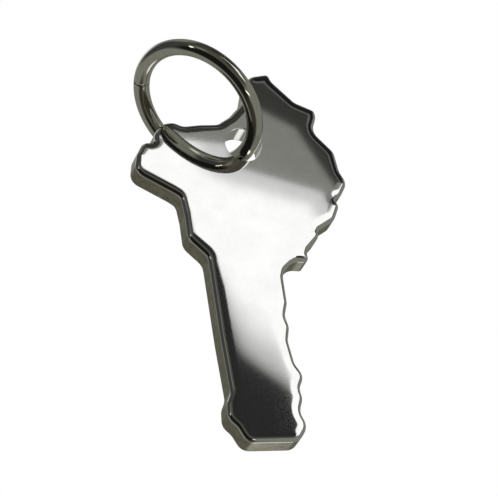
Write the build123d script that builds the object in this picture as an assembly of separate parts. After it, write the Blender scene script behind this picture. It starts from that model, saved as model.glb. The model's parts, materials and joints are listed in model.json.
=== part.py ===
"""Map-shaped pendant: a polished plate that swings on a closed wire ring.

Units are millimetres. +Z is up as the pendant hangs, and the polished face looks along -Y.
The origin is the middle of the ring's eye, a little in front of the polished face.
"""
from build123d import *
from math import asin, cos, degrees, radians, sin, tan
import os

# Ring: round wire bent to a circle, its two sawn ends butted at a seam
wire_diameter = 1.02
eye_diameter = 7.2
seam_gap = 0.03
seam_turn = 341.0           # degrees round the ring from the top of the eye, first towards the face
ring_lean = 48.7            # degrees the eye leans left of straight above the hole
ring_cant = 8.0             # degrees the ring's plane turns from square to the plate

# Plate
plate_thickness = 1.5
face_behind = 0.55          # the polished face lies this far behind the middle of the eye
face_edge_round = 0.3       # polishing has rounded the edge of the face
back_edge_bevel = 0.1       # the sawn edge of the back is only broken
corner_round = 0.9          # largest radius at a corner of the outline
run_share = 0.45            # share of the shorter run that a rounded corner may take

# Hole in the plate, and how the wire lies in it
hole_diameter = 2.4
hole_edge_round = 0.15
wire_left = 0.21            # the wire's middle lies this far left of the hole's middle,
wire_below = 0.53           # and this far below it

# Outline as (x, z) from the middle of the hole, going round from the upper left point
west_border = [
    (-7.05, -1.4), (-7.25, -2.65), (-5.0, -3.85), (-4.45, -4.2), (-4.3, -5.45),
    (-4.25, -7.15), (-3.1, -8.3), (-3.05, -9.35), (-2.85, -13.85), (-2.6, -17.5),
    (-2.9, -18.2), (-2.95, -19.2), (-2.4, -19.75),
]
south_coast = [(-1.9, -20.75), (1.35, -20.5), (2.0, -19.5)]
east_border = [
    (1.6, -18.55), (1.9, -17.65), (1.75, -17.0), (2.15, -16.15), (1.65, -15.35),
    (1.4, -13.8), (1.6, -12.85), (1.4, -12.1), (1.65, -11.2), (1.6, -9.35), (1.75, -8.85),
    (2.45, -8.15), (3.45, -8.15), (3.35, -7.4), (4.3, -6.3), (4.3, -5.8), (5.5, -4.95),
    (5.95, -3.9), (5.7, -3.45), (6.15, -3.15), (6.7, -2.15), (6.3, -1.35), (6.1, 0.1),
    (4.8, 1.55), (5.2, 2.65), (5.15, 3.15), (3.85, 3.65), (2.45, 5.1), (2.25, 5.65),
]
north_border = [
    (0.8, 5.25), (0.3, 3.25), (-0.7, 2.05), (-1.55, 1.4), (-2.75, 1.25), (-3.9, 1.0),
    (-4.45, 1.25), (-5.25, 1.05), (-5.75, 0.3), (-5.85, -0.4), (-6.6, -0.5),
]

# The ring's plane: its X points at the top of the eye, its Y out of the polished face
wire_radius = wire_diameter / 2
ring_radius = (eye_diameter + wire_diameter) / 2
lean, cant = radians(ring_lean), radians(ring_cant)
ring_plane = Plane(
    origin=(0, 0, 0),
    x_dir=(-sin(lean), 0, cos(lean)),
    z_dir=(cos(lean) * cos(cant), sin(cant), sin(lean) * cos(cant)),
)

# The wire passes half way through the plate here, and the hole is placed from that point
half_way = face_behind + plate_thickness / 2
pass_angle = radians(180) + asin(half_way / (ring_radius * cos(cant)))
wire_in_hole = ring_plane.from_local_coords(
    Vector(ring_radius * cos(pass_angle), ring_radius * sin(pass_angle), 0)
)
hole_x = wire_in_hole.X + wire_left
hole_z = wire_in_hole.Z + wire_below


def corner_radius(before, corner, after):
    """Radius of a rounded corner, as large as its two runs and the polishing allow."""
    run_in, run_out = Vector(corner) - Vector(before), Vector(after) - Vector(corner)
    turn = radians(run_in.get_angle(run_out))
    shorter = min(run_in.length, run_out.length)
    return min(corner_round, run_share * shorter / tan(turn / 2))


def make_map_plate():
    """Plate sawn to the outline, drilled for the ring, with its edges rounded by polishing."""
    outline = west_border + south_coast + east_border + north_border
    points = [(hole_x + x, hole_z + z) for x, z in outline]
    count = len(points)
    radii = [
        corner_radius(points[i - 1], points[i], points[(i + 1) % count]) for i in range(count)
    ]
    back = Plane.XZ.offset(-face_behind - plate_thickness)
    border = FilletPolyline(*points, radius=radii, close=True)
    plate = extrude(back * make_face(border), plate_thickness)
    hole_centre = Pos(hole_x, half_way, hole_z)
    face_edges = plate.faces().sort_by(Axis.Y)[0].edges()
    plate = fillet(face_edges, face_edge_round)
    back_edges = plate.faces().sort_by(Axis.Y)[-1].edges()
    plate = chamfer(back_edges, back_edge_bevel)
    plate -= hole_centre * Rot(90, 0, 0) * Cylinder(hole_diameter / 2, 2 * plate_thickness)
    rims = plate.edges().filter_by(GeomType.CIRCLE).filter_by(
        lambda edge: abs(edge.radius - hole_diameter / 2) < 0.001
        and abs(edge.arc_center.X - hole_x) < 0.001
    )
    return fillet(rims, hole_edge_round)


def make_jump_ring():
    """Round wire turned through all but the hairline gap between its sawn ends."""
    gap_angle = degrees(seam_gap / ring_radius)
    wire = Plane.XZ * Pos(ring_radius, 0) * Circle(wire_radius)
    ring = revolve(wire, Axis.Z, revolution_arc=360 - gap_angle)
    return ring_plane.location * Rot(0, 0, seam_turn) * ring


if __name__ == "__main__":
    parts = {
        "map_plate": make_map_plate(),
        "jump_ring": make_jump_ring(),
    }
    os.makedirs("parts", exist_ok=True)
    for name, part in parts.items():
        export_step(part, f"parts/{name}.step")
        print(name, round(part.volume, 3), part.bounding_box())
    print("hole at", round(hole_x, 3), round(hole_z, 3))
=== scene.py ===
# Map-shaped pendant: a mirror-polished plate hanging on a closed wire ring
import json
import math

import bmesh
import bpy
from mathutils import Matrix, Quaternion, Vector
from mathutils.bvhtree import BVHTree


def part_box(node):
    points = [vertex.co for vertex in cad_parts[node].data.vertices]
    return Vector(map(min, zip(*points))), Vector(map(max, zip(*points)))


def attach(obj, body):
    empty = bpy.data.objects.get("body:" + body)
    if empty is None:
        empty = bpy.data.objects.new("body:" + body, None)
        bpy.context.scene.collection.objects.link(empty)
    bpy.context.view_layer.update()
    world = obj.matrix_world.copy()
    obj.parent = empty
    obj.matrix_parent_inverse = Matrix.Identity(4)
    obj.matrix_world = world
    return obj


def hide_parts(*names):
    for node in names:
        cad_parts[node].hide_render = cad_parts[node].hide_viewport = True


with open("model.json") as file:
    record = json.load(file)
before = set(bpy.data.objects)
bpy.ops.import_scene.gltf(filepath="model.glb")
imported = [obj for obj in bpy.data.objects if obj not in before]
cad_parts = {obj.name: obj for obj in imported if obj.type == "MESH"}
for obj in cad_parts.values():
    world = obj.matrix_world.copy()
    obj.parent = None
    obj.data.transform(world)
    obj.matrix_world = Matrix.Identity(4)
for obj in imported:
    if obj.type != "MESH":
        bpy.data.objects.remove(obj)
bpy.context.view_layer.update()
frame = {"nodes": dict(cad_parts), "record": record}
millimetre = 0.001
perMetre = 1000  # millimetres, for patterns and tones that are set out in millimetres
print("frame loaded")


def newMaterial(name, shaderType="ShaderNodeBsdfPrincipled"):
    material = bpy.data.materials.new(name)
    material.use_nodes = True
    tree = material.node_tree
    tree.nodes.clear()
    shader = tree.nodes.new(shaderType)
    output = tree.nodes.new("ShaderNodeOutputMaterial")
    tree.links.new(shader.outputs[0], output.inputs["Surface"])
    return material, tree, shader


def combine(tree, operation, *values):
    node = tree.nodes.new("ShaderNodeMath")
    node.operation = operation
    for socket, value in zip(node.inputs, values):
        if isinstance(value, (int, float)):
            socket.default_value = value
        else:
            tree.links.new(value, socket)
    return node.outputs["Value"]


def remap(tree, value, low, high, toLow=0.0, toHigh=1.0, curve="SMOOTHSTEP"):
    node = tree.nodes.new("ShaderNodeMapRange")
    node.interpolation_type = curve
    tree.links.new(value, node.inputs["Value"])
    limits = {"From Min": low, "From Max": high, "To Min": toLow, "To Max": toHigh}
    for name, number in limits.items():
        node.inputs[name].default_value = number
    return node.outputs["Result"]


def blendTone(tree, factor, a, b):
    node = tree.nodes.new("ShaderNodeMix")
    node.data_type = "RGBA"
    tree.links.new(factor, node.inputs["Factor"])
    for socket, value in ((node.inputs["A"], a), (node.inputs["B"], b)):
        if isinstance(value, tuple):
            socket.default_value = (*value, 1)
        else:
            tree.links.new(value, socket)
    return node.outputs["Result"]


# a larger patch or line number packs the pattern closer, and depth is in millimetres
metalSettings = {
    "mirror": {"dark": (0.80, 0.80, 0.785), "light": (0.87, 0.87, 0.86), "patch": 0.9,
               "smooth": 0.015, "rough": 0.05, "line": 14.0, "stretch": (1.0, 1.0, 1.0),
               "depth": 0.00004},
    "satin": {"dark": (0.31, 0.29, 0.225), "light": (0.50, 0.48, 0.40), "patch": 2.2,
              "smooth": 0.26, "rough": 0.42, "line": 9.0, "stretch": (0.35, 1.6, 0.35),
              "depth": 0.0012},
    "wire": {"dark": (0.70, 0.685, 0.63), "light": (0.80, 0.79, 0.74), "patch": 1.1,
             "smooth": 0.03, "rough": 0.09, "line": 8.0, "stretch": (1.0, 1.0, 1.0),
             "depth": 0.0001},
}

grainSettings = {
    "evenScale": (1.0, 1.0, 1.0),
    "patchDetail": 5,
    "lineDetail": 3,
    "toneRange": (0.75, 1.25),  # patches and lines added together, from darkest to lightest
}


def metalNoise(tree, coords, stretch, closeness, detail):
    scaled = tree.nodes.new("ShaderNodeMapping")
    scaled.inputs["Scale"].default_value = [perMetre * s for s in stretch]
    tree.links.new(coords.outputs["Object"], scaled.inputs["Vector"])
    noise = tree.nodes.new("ShaderNodeTexNoise")
    noise.inputs["Scale"].default_value = closeness
    noise.inputs["Detail"].default_value = detail
    tree.links.new(scaled.outputs["Vector"], noise.inputs["Vector"])
    return noise.outputs["Fac"]


def makeMetal(name):
    settings = metalSettings[name]
    material, tree, shader = newMaterial(name)
    coords = tree.nodes.new("ShaderNodeTexCoord")
    patches = metalNoise(  # slow change of tone over the metal
        tree, coords, grainSettings["evenScale"], settings["patch"], grainSettings["patchDetail"])
    fineLines = metalNoise(  # fine lines left by the polishing or the saw
        tree, coords, settings["stretch"], settings["line"], grainSettings["lineDetail"])
    grain = combine(tree, "ADD", patches, fineLines)
    factor = remap(tree, grain, *grainSettings["toneRange"], curve="LINEAR")
    tone = blendTone(tree, factor, settings["dark"], settings["light"])
    gloss = remap(tree, fineLines, 0, 1, settings["smooth"], settings["rough"], curve="LINEAR")
    bump = tree.nodes.new("ShaderNodeBump")
    bump.inputs["Strength"].default_value = 1.0
    bump.inputs["Distance"].default_value = settings["depth"] * millimetre
    tree.links.new(fineLines, bump.inputs["Height"])
    tree.links.new(tone, shader.inputs["Base Color"])
    tree.links.new(gloss, shader.inputs["Roughness"])
    tree.links.new(bump.outputs["Normal"], shader.inputs["Normal"])
    shader.inputs["Metallic"].default_value = 1.0
    return material


mirrorSteel = makeMetal("mirror")
satinSteel = makeMetal("satin")
wireSteel = makeMetal("wire")
print("materials made")


plateSettings = {
    "node": "map_plate",
    "body": "plate",
    "slot": "plate_steel",
    "mergeDistance": 1e-7,
    "flatAngle": 0.2,               # degrees between triangles that are one flat face
    "flatness": 0.9995,             # a face this square to the thickness is front or back,
    "wallSteepness": 0.01,          # and one this plumb is wall
    "gridStep": 0.13 * millimetre,  # how finely the polished face is divided
    "cutDistance": 1e-8,
    "slopeTilt": 3.0,               # degrees that polishing has sloped the face at its border
    "slopeEnd": 0.74 * millimetre,  # the slope is gone this far in
    "fineReach": 1.7,               # the grid is finer within this many slope widths
    "edgeRound": 0.30 * millimetre,
    "probeDepth": 0.6,              # share of the thickness at which the border is measured
    "holeRadius": 1.2 * millimetre,
    "holeReach": 1.3 * millimetre,  # what is nearer than this to the axis belongs to the hole
}


def faceKind(face):
    if face.normal.y < -plateSettings["flatness"]:
        return "front"
    if face.normal.y > plateSettings["flatness"]:
        return "back"
    if abs(face.normal.y) < plateSettings["wallSteepness"]:
        return "wall"
    return "round"


def once(items):
    return list(dict.fromkeys(items))  # each once and in order, so that every run is the same


def crosses(face, axis, place):
    spots = [v.co[axis] for v in face.verts]
    return min(spots) < place < max(spots)


def cutGrid(bm, low, high):
    step = plateSettings["gridStep"]
    for axis in (0, 2):
        across = Vector((1, 0, 0)) if axis == 0 else Vector((0, 0, 1))
        place = low[axis] + step / 2
        while place < high[axis]:
            front = [f for f in bm.faces if faceKind(f) == "front" and crosses(f, axis, place)]
            edges = once(e for f in front for e in f.edges)
            verts = once(v for f in front for v in f.verts)
            bmesh.ops.bisect_plane(
                bm, geom=[*front, *edges, *verts], dist=plateSettings["cutDistance"],
                plane_co=across * place, plane_no=across)
            place += step


def levelDistance(tree, point, depth):
    probe = Vector((point.x, depth, point.z))
    nearest, _, _, distance = tree.find_nearest(probe)
    outward = nearest - probe
    outward.y = 0
    return distance, outward


def refineBorder(bm, tree, depth):
    reach = plateSettings["fineReach"] * plateSettings["slopeEnd"]
    near = {f for f in bm.faces if faceKind(f) == "front"
            and levelDistance(tree, f.calc_center_median(), depth)[0] < reach}
    edges = [e for e in bm.edges if all(f in near for f in e.link_faces)]
    bmesh.ops.subdivide_edges(bm, edges=edges, cuts=1, use_grid_fill=True)


# how far the face drops and turns at a distance from its border
def borderSlope(distance):
    end = plateSettings["slopeEnd"]
    steepest = math.tan(math.radians(plateSettings["slopeTilt"]))
    along = min(1, distance / end)
    slope = steepest * (1 - along * along * (3 - 2 * along))
    drop = steepest * end * (0.5 - along + along ** 3 - along ** 4 / 2)
    turn = math.atan(slope)
    corner = plateSettings["edgeRound"]
    if distance < corner:
        over = (corner - distance) / corner
        drop += corner * (1 - math.sqrt(1 - over * over))
        turn = max(turn, math.asin(over))
    return drop, turn


# the outer walls alone, for measuring how far a point is from the border
def borderTree(bm, holeAxis):
    walls = bm.copy()
    reach = plateSettings["holeReach"]
    others = [f for f in walls.faces if faceKind(f) != "wall"
              or (f.calc_center_median() - holeAxis).xz.length <= reach]
    bmesh.ops.delete(walls, geom=others, context="FACES")
    tree = BVHTree.FromBMesh(walls)
    walls.free()
    return tree


def makePlate():
    low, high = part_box(plateSettings["node"])
    thickness = high.y - low.y
    cadPlate = frame["nodes"][plateSettings["node"]]
    bm = bmesh.new()
    bm.from_mesh(cadPlate.data)
    bmesh.ops.remove_doubles(bm, verts=bm.verts, dist=plateSettings["mergeDistance"])
    bm.normal_update()
    flat = {f for f in bm.faces if faceKind(f) in ("front", "back")}
    bmesh.ops.dissolve_limit(
        bm, angle_limit=math.radians(plateSettings["flatAngle"]), use_dissolve_boundaries=False,
        verts=[v for v in bm.verts if any(f in flat for f in v.link_faces)],
        edges=[e for e in bm.edges if all(f in flat for f in e.link_faces)],
        delimit=set())
    bm.normal_update()
    holeAxis = Vector(frame["record"]["behaviour"]["joints"][0]["pos_m"])
    tree = borderTree(bm, holeAxis)
    depth = low.y + thickness * plateSettings["probeDepth"]
    cutGrid(bm, low, high)
    bm.normal_update()
    refineBorder(bm, tree, depth)
    bm.normal_update()

    kinds = {f: faceKind(f) for f in bm.faces}

    def average(vert, kind):
        total = Vector()
        for f in vert.link_faces:
            if kinds[f] == kind:
                total += f.normal
        return total.normalized()

    polished = {}  # the face's normal at each vertex, once it is sloped and rounded
    for v in bm.verts:
        if v.co.y > low.y + thickness / 2:
            continue
        distance, outward = levelDistance(tree, v.co, depth)
        rimDistance = (holeAxis - v.co).xz.length - plateSettings["holeRadius"]
        around = {kinds[f] for f in v.link_faces}
        drop, turn = borderSlope(distance)
        if "round" in around and rimDistance > plateSettings["slopeEnd"]:
            outward = average(v, "round")
            outward.y = 0
            v.co.y = low.y + drop
        else:
            v.co.y += drop
        if "wall" not in around:
            slope = outward.normalized() * math.sin(turn) - Vector((0, math.cos(turn), 0))
            polished[v] = slope.normalized()

    normals = []
    for f in bm.faces:
        for loop in f.loops:
            v, kind = loop.vert, kinds[f]
            around = {kinds[g] for g in v.link_faces}
            if kind == "wall" or (kind == "round" and "wall" in around):
                normal = average(v, "wall")
            elif v in polished:
                normal = polished[v]
            elif kind == "back" or (kind == "round" and "back" in around):
                normal = Vector((0, 1, 0))
            else:
                normal = average(v, "round")
            normals.append(normal)
    for f in bm.faces:
        f.smooth = True
        inHole = (f.calc_center_median() - holeAxis).xz.length < plateSettings["holeReach"]
        satin = kinds[f] == "back" or (kinds[f] == "wall" and not inHole)
        f.material_index = int(satin)
    mesh = bpy.data.meshes.new("mapPlate")
    bm.to_mesh(mesh)
    bm.free()
    mesh.normals_split_custom_set(normals)
    for steel in (mirrorSteel, satinSteel):
        mesh.materials.append(steel)
    plate = bpy.data.objects.new("mapPlate", mesh)
    bpy.context.collection.objects.link(plate)
    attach(plate, plateSettings["body"])
    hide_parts(plateSettings["node"])
    print("plate made,", len(mesh.polygons), "faces")


makePlate()


ringSettings = {
    "node": "jump_ring",
    "body": "ring",
    "slot": "ring_steel",
    "eye": 7.2 * millimetre,
    "wire": 1.02 * millimetre,
    "lean": 48.7,                  # degrees
    "seamGap": 0.03 * millimetre,  # between the two butted ends
    "seamTurn": 341.0,             # degrees round the ring to the seam
    "aroundWire": 36,
    "aroundRing": 240,
    "weldDistance": 1e-8,
}


def makeRing():
    mount = frame["record"]["mounts"][0]
    centre, axis = Vector(mount["pos_m"]), Vector(mount["axis"]).normalized()
    radius = (ringSettings["eye"] + ringSettings["wire"]) / 2
    lean = math.radians(ringSettings["lean"])
    top = Vector((-math.sin(lean), 0, math.cos(lean)))
    side = axis.cross(top)
    place = Matrix((
        (top.x, side.x, axis.x, centre.x),
        (top.y, side.y, axis.y, centre.y),
        (top.z, side.z, axis.z, centre.z),
        (0, 0, 0, 1)))
    gap = ringSettings["seamGap"] / radius
    bm = bmesh.new()
    bmesh.ops.create_circle(
        bm, cap_ends=True, radius=ringSettings["wire"] / 2, segments=ringSettings["aroundWire"],
        matrix=Matrix.Translation((radius, 0, 0)) @ Matrix.Rotation(math.pi / 2, 4, "X"))
    bmesh.ops.spin(
        bm, geom=[*bm.faces, *bm.edges, *bm.verts], cent=(0, 0, 0), axis=(0, 0, 1),
        angle=2 * math.pi - gap, steps=ringSettings["aroundRing"], use_duplicate=False)
    bmesh.ops.remove_doubles(bm, verts=bm.verts, dist=ringSettings["weldDistance"])
    bmesh.ops.recalc_face_normals(bm, faces=bm.faces)
    bmesh.ops.transform(
        bm, verts=bm.verts,
        matrix=place @ Matrix.Rotation(math.radians(ringSettings["seamTurn"]), 4, "Z"))
    for f in bm.faces:
        f.smooth = len(f.verts) == 4  # the two sawn ends stay flat
    mesh = bpy.data.meshes.new("wireRing")
    bm.to_mesh(mesh)
    bm.free()
    mesh.materials.append(wireSteel)
    ring = bpy.data.objects.new("wireRing", mesh)
    bpy.context.collection.objects.link(ring)
    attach(ring, ringSettings["body"])
    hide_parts(ringSettings["node"])
    print("ring made,", len(mesh.polygons), "faces")


makeRing()


cameraSettings = {
    "aim": Vector((2.537, 0.55, -9.78)) * millimetre,
    "azimuth": -21.65,    # degrees, as are the next two
    "elevation": -30.0,
    "roll": -6.7,
    "distance": 149.0 * millimetre,
    "lens": 176.9,
    "sensor": 36.0,
    "clip": (0.01, 10.0),
}


def direction(azimuth, elevation):
    a, e = math.radians(azimuth), math.radians(elevation)
    return Vector((math.sin(a) * math.cos(e), -math.cos(a) * math.cos(e), math.sin(e)))


def makeCamera():
    back = direction(cameraSettings["azimuth"], cameraSettings["elevation"])
    data = bpy.data.cameras.new("camera")
    data.lens = cameraSettings["lens"]
    data.sensor_width = cameraSettings["sensor"]
    data.clip_start, data.clip_end = cameraSettings["clip"]
    camera = bpy.data.objects.new("camera", data)
    camera.location = cameraSettings["aim"] + back * cameraSettings["distance"]
    camera.rotation_mode = "QUATERNION"
    rollTurn = Quaternion((0, 0, 1), math.radians(cameraSettings["roll"]))
    camera.rotation_quaternion = back.to_track_quat("Z", "Y") @ rollTurn
    bpy.context.collection.objects.link(camera)
    bpy.context.scene.camera = camera
    print("camera set")
    return camera


camera = makeCamera()


def stageMesh(name, bm, material, mirrorsOnly=True):
    mesh = bpy.data.meshes.new(name)
    bm.to_mesh(mesh)
    bm.free()
    mesh.materials.append(material)
    thing = bpy.data.objects.new(name, mesh)
    bpy.context.collection.objects.link(thing)
    if mirrorsOnly:
        thing.visible_camera = False
        thing.visible_diffuse = False
        thing.visible_shadow = False
    return thing


studioSettings = {
    "floorDrop": 0.4,
    "floorSize": 3.0,
    "floorColour": (0.93, 0.93, 0.92, 1),
    "floorRoughness": 0.8,
    "background": (1, 1, 1, 1),
    "ambient": 0.8,
}


def makeFloor():
    bm = bmesh.new()
    bmesh.ops.create_grid(bm, x_segments=1, y_segments=1, size=studioSettings["floorSize"] / 2)
    bmesh.ops.translate(bm, verts=bm.verts, vec=(0, 0, -studioSettings["floorDrop"]))
    material, _, shader = newMaterial("floor")
    shader.inputs["Base Color"].default_value = studioSettings["floorColour"]
    shader.inputs["Roughness"].default_value = studioSettings["floorRoughness"]
    stageMesh("floor", bm, material, mirrorsOnly=False)


makeFloor()


# a glowing dome that lights nothing and shows only in the metal's mirror: its tones are painted
# reflections
tentSettings = {
    "radius": 0.32,
    "segments": (64, 32),
    "lampPlace": 0.95,  # share of the radius at which the lamps hang
    "colour": (0.215, 0.22, 0.19),
    # dark and pale glowing patches, painted reflections and highlights for the metal: place, size
    # and soft edge in degrees, and colour
    "patches": [
        {"azimuth": -90, "elevation": 30, "size": 34, "soft": 12, "colour": (0.050, 0.052, 0.052)},
        {"azimuth": -90, "elevation": -78, "size": 26, "soft": 14, "colour": (0.04, 0.04, 0.03)},
        {"azimuth": -45, "elevation": 72, "size": 8, "soft": 16, "colour": (0.20, 0.21, 0.16)},
        {"azimuth": -155, "elevation": 46, "size": 14, "soft": 12, "colour": (0.30, 0.30, 0.29)},
        {"azimuth": -163, "elevation": 46, "size": 8, "soft": 6, "colour": (0.90, 0.90, 0.87)},
        {"azimuth": 159, "elevation": -36, "size": 9, "soft": 6, "colour": (1.0, 1.0, 0.97)},
        {"azimuth": 24, "elevation": 63, "size": 15, "soft": 7, "colour": (0.025, 0.024, 0.022)},
        {"azimuth": 53, "elevation": 51, "size": 15, "soft": 6, "colour": (0.022, 0.021, 0.020)},
        {"azimuth": 50, "elevation": 22, "size": 6, "soft": 5, "colour": (0.03, 0.03, 0.028)},
        {"azimuth": -20, "elevation": -50, "size": 15, "soft": 8, "colour": (0.012, 0.011, 0.009)},
        {"azimuth": -60, "elevation": -30, "size": 36, "soft": 12, "colour": (0.010, 0.010, 0.009)},
        {"azimuth": 8, "elevation": -12, "size": 22, "soft": 8, "colour": (0.075, 0.070, 0.054)},
        {"azimuth": -20, "elevation": 45, "size": 20, "soft": 10, "colour": (0.055, 0.054, 0.052)},
        {"azimuth": -8, "elevation": 9, "size": 23, "soft": 8, "colour": (0.085, 0.080, 0.062)},
        {"azimuth": 85, "elevation": 62, "size": 16, "soft": 10, "colour": (0.075, 0.075, 0.07)},
    ],
}


def makeTent():
    material, tree, glow = newMaterial("tentPaintedReflections", "ShaderNodeEmission")
    coords = tree.nodes.new("ShaderNodeTexCoord")
    unit = tree.nodes.new("ShaderNodeVectorMath")
    unit.operation = "NORMALIZE"
    tree.links.new(coords.outputs["Object"], unit.inputs[0])
    tone = tentSettings["colour"]
    for patch in tentSettings["patches"]:
        facing = tree.nodes.new("ShaderNodeVectorMath")
        facing.operation = "DOT_PRODUCT"
        facing.inputs[1].default_value = direction(patch["azimuth"], patch["elevation"])
        tree.links.new(unit.outputs["Vector"], facing.inputs[0])
        outer = math.cos(math.radians(patch["size"] + patch["soft"]))
        inner = math.cos(math.radians(max(0, patch["size"] - patch["soft"] / 2)))
        factor = remap(tree, facing.outputs["Value"], outer, inner)
        tone = blendTone(tree, factor, tone, patch["colour"])
    tree.links.new(tone, glow.inputs["Color"])
    around, down = tentSettings["segments"]
    bm = bmesh.new()
    bmesh.ops.create_uvsphere(
        bm, u_segments=around, v_segments=down, radius=tentSettings["radius"])
    stageMesh("tent", bm, material)


makeTent()


# a glowing card that lights nothing and shows only in mirrors: its tones are painted reflections on
# the polished face
# lengths in millimetres on the plate's face, where each part of the card shows in its mirror
cardSettings = {
    "origin": Vector((0.137, 0.55, 0.469)) * millimetre,  # point that the lengths start from
    "away": 0.2,                          # metres that the card stands in front of the face
    "edges": (-24.0, 42.0, -54.0, 45.0),  # left, right, bottom and top
    "white": 1.16,
    "pale": 0.70,
    "gray": 0.235,
    "dark": 0.038,
    "line": 0.13,
    "black": 0.012,
    "grayTint": (1.0, 1.01, 0.92),
    "darkTint": (1.0, 1.01, 0.88),
    # a line is a fall to the right, a height and a steepness, and a zone lies above either line
    "darkEdges": [(0.524, 2.3, 0.886), (1.9, 11.2, 0.466)],
    "darkSoft": 0.10,
    "darkFloor": (-5.6, -5.0),   # nothing dark below these heights
    "darkLeft": (0.9, 1.15),     # dark above a line that starts this far down and rises rightwards
    "darkLeftSoft": 0.1,
    "lineReach": (2.1, 3.9),     # a pale line starts this far into the dark, and then black
    "lineSoft": 0.5,
    "grayEdges": [(0.24, -3.88, 0.97), (2.5, 13.5, 0.371)],
    "graySoft": 0.14,
    "grayFloor": (-7.5, -7.1),   # nothing gray below these
    "step": (1.8, -2.78),        # left of the first the gray is level, and starts at the second
    "stepSoft": 0.14 / 3,
    "fade": (0.35, 2.2),         # the pale band below the gray, from full to gone
    "paleLeft": (-1.6, 1.2),     # it dies out towards the left,
    "paleRight": (13.0, 9.5),    # far to the right
    "paleFloor": (-8.3, -7.3),   # and low down
    "leftEdges": [(6.2, -13.0, 0.16), (0.3, -13.3, 0.74)],  # white comes above either of these
    "lowEdge": (0.74, -17.2, 1.0),                          # and also above this one
    "cornerDark": 0.021,             # the black corner left below them
    "rightGlow": (4.0, -4.3, -2.2),  # fall and the two heights between which white comes back
    # how far white takes to come above those lines, and how the tone rises on the way
    "leftTones": (2.0, [(0.0, 0.02), (0.06, 0.15), (0.12, 0.43), (0.22, 0.71), (0.45, 0.92),
                        (0.8, 1.0)]),
    "lowTones": (5.0, [(0.0, 0.02), (0.022, 0.06), (0.036, 0.105), (0.073, 0.212), (0.12, 0.29),
                       (0.24, 0.475), (0.40, 0.60), (0.60, 0.77), (0.80, 0.91), (1.0, 1.0)]),
}


def toneRamp(tree, distance, settings):
    reach, tones = settings
    ramp = tree.nodes.new("ShaderNodeValToRGB")
    stops = ramp.color_ramp.elements
    while len(stops) < len(tones):
        stops.new(0.5)  # its place is set next
    for stop, (place, level) in zip(stops, tones):
        stop.position = place
        stop.color = (level, level, level, 1)
    tree.links.new(combine(tree, "DIVIDE", distance, reach), ramp.inputs["Fac"])
    return ramp.outputs["Color"]


def overLine(tree, across, up, settings):
    slope, height, steepness = settings
    tilted = combine(tree, "MULTIPLY_ADD", across, slope, up)
    return combine(tree, "MULTIPLY", combine(tree, "SUBTRACT", tilted, height), steepness)


def beyond(tree, across, up, edges):
    return combine(tree, "MAXIMUM", *[overLine(tree, across, up, edge) for edge in edges])


def tinted(level, tint):
    return tuple(level * part for part in tint)


def paintedReflectionTone(tree, across, up):
    grayHeight = beyond(tree, across, up, cardSettings["grayEdges"])
    soft = cardSettings["graySoft"]
    stepAcross, stepUp = cardSettings["step"]
    rightGray = combine(
        tree, "MULTIPLY", remap(tree, grayHeight, -soft, soft),
        remap(tree, across, stepAcross - soft, stepAcross + soft))
    soft = cardSettings["stepSoft"]
    leftGray = remap(tree, up, stepUp - soft, stepUp + soft)
    grayMask = combine(tree, "MAXIMUM", rightGray, leftGray)
    grayMask = combine(tree, "MULTIPLY", grayMask, remap(tree, up, *cardSettings["grayFloor"]))

    darkHeight = beyond(tree, across, up, cardSettings["darkEdges"])
    soft = cardSettings["darkSoft"]
    darkMask = remap(tree, darkHeight, -soft, soft)
    darkMask = combine(tree, "MULTIPLY", darkMask, remap(tree, up, *cardSettings["darkFloor"]))
    slope, height = cardSettings["darkLeft"]
    soft = cardSettings["darkLeftSoft"]
    rightwards = combine(tree, "MAXIMUM", across, 0.0)
    leftHeight = combine(tree, "MULTIPLY_ADD", rightwards, -slope, up)
    leftDark = remap(tree, leftHeight, -height - soft, soft - height)
    darkMask = combine(tree, "MAXIMUM", darkMask, leftDark)

    near, far = cardSettings["fade"]
    paleness = remap(tree, grayHeight, -far, -near)
    for side, value in (("paleLeft", across), ("paleRight", across), ("paleFloor", up)):
        paleness = combine(tree, "MULTIPLY", paleness, remap(tree, value, *cardSettings[side]))
    tone = remap(tree, paleness, 0, 1, cardSettings["white"], cardSettings["pale"])

    leftSides = beyond(tree, across, up, cardSettings["leftEdges"])
    top = overLine(tree, across, up, cardSettings["lowEdge"])
    leftTone = toneRamp(tree, leftSides, cardSettings["leftTones"])
    lowTone = toneRamp(tree, top, cardSettings["lowTones"])
    cornerTone = combine(tree, "MULTIPLY", leftTone, lowTone)
    cornerTone = combine(tree, "MAXIMUM", cornerTone, cardSettings["cornerDark"])
    slope, glowLow, glowHigh = cardSettings["rightGlow"]
    rightHeight = combine(tree, "MULTIPLY_ADD", across, slope, up)
    rightWhite = remap(tree, rightHeight, glowLow, glowHigh)
    cornerTone = combine(tree, "MAXIMUM", cornerTone, rightWhite)

    tone = combine(tree, "MULTIPLY", tone, cornerTone)
    gray = tinted(cardSettings["gray"], cardSettings["grayTint"])
    dark = tinted(cardSettings["dark"], cardSettings["darkTint"])
    tone = blendTone(tree, grayMask, tone, gray)
    tone = blendTone(tree, darkMask, tone, dark)
    for start, name in zip(cardSettings["lineReach"], ("line", "black")):
        past = remap(tree, darkHeight, start, start + cardSettings["lineSoft"])
        mask = combine(tree, "MULTIPLY", darkMask, past)
        tone = blendTone(tree, mask, tone, (cardSettings[name],) * 3)
    return tone


# the card is set from the camera's mirror image, so that each painted reflection lands where it is
# drawn on the face
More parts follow.
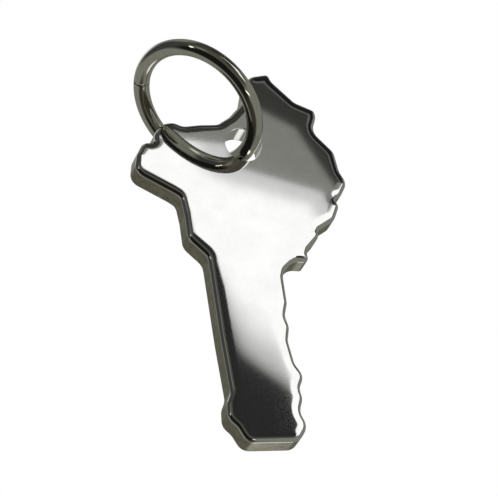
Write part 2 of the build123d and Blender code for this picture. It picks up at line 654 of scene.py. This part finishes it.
def makeCard(camera):
    eye = camera.location - cardSettings["origin"]
    eye.y = -eye.y  # the camera's mirror image in the face
    growth = 1 + cardSettings["away"] / eye.y
    material, tree, glow = newMaterial("card", "ShaderNodeEmission")
    coords = tree.nodes.new("ShaderNodeTexCoord")
    onFace = tree.nodes.new("ShaderNodeMapping")
    onFace.inputs["Scale"].default_value = [perMetre / growth] * 3
    onFace.inputs["Location"].default_value = eye * perMetre * (1 - 1 / growth)
    tree.links.new(coords.outputs["Object"], onFace.inputs["Vector"])
    split = tree.nodes.new("ShaderNodeSeparateXYZ")
    tree.links.new(onFace.outputs["Vector"], split.inputs["Vector"])
    tree.links.new(paintedReflectionTone(tree, split.outputs["X"], split.outputs["Z"]), glow.inputs["Color"])

    left, right, low, high = [value * millimetre for value in cardSettings["edges"]]
    bm = bmesh.new()
    corners = [eye + (Vector((x, 0, z)) - eye) * growth
               for x, z in ((left, low), (right, low), (right, high), (left, high))]
    bm.faces.new([bm.verts.new(corner) for corner in corners])
    card = stageMesh("frontCard", bm, material)
    card.location = cardSettings["origin"]


makeCard(camera)


lampSettings = [
    {"name": "leftLamp", "azimuth": -60, "elevation": 10, "long": 0.078, "wide": 0.026,
     "turn": -25, "radiance": 1.6, "colour": (1.0, 0.97, 0.86)},
    {"name": "lowLamp", "azimuth": 14, "elevation": -50, "long": 0.11, "wide": 0.024,
     "turn": -62, "radiance": 1.6, "colour": (1.0, 0.97, 0.86)},
]


def makeLamp(settings):
    lamp = bpy.data.lights.new(settings["name"], "AREA")
    lamp.shape = "RECTANGLE"
    lamp.size, lamp.size_y = settings["wide"], settings["long"]
    lamp.color = settings["colour"]
    lamp.energy = settings["radiance"] * math.pi * lamp.size * lamp.size_y
    thing = bpy.data.objects.new(settings["name"], lamp)
    towards = direction(settings["azimuth"], settings["elevation"])
    thing.location = towards * tentSettings["radius"] * tentSettings["lampPlace"]
    thing.rotation_mode = "QUATERNION"
    turn = Quaternion((0, 0, 1), math.radians(settings["turn"]))
    thing.rotation_quaternion = towards.to_track_quat("Z", "Y") @ turn
    bpy.context.collection.objects.link(thing)


for settings in lampSettings:
    makeLamp(settings)


def makeWorld():
    world = bpy.data.worlds.new("world")
    bpy.context.scene.world = world
    world.use_nodes = True
    tree = world.node_tree
    tree.nodes.clear()
    path = tree.nodes.new("ShaderNodeLightPath")
    seen = combine(tree, "MAXIMUM", path.outputs["Is Camera Ray"], path.outputs["Is Glossy Ray"])
    seen = combine(tree, "MAXIMUM", seen, path.outputs["Is Transmission Ray"])
    sky = tree.nodes.new("ShaderNodeBackground")
    sky.inputs["Color"].default_value = studioSettings["background"]
    strength = remap(tree, seen, 0, 1, studioSettings["ambient"], 1.0)
    tree.links.new(strength, sky.inputs["Strength"])
    output = tree.nodes.new("ShaderNodeOutputWorld")
    tree.links.new(sky.outputs["Background"], output.inputs["Surface"])


makeWorld()
bpy.context.scene.view_settings.view_transform = "Standard"
print("studio made")
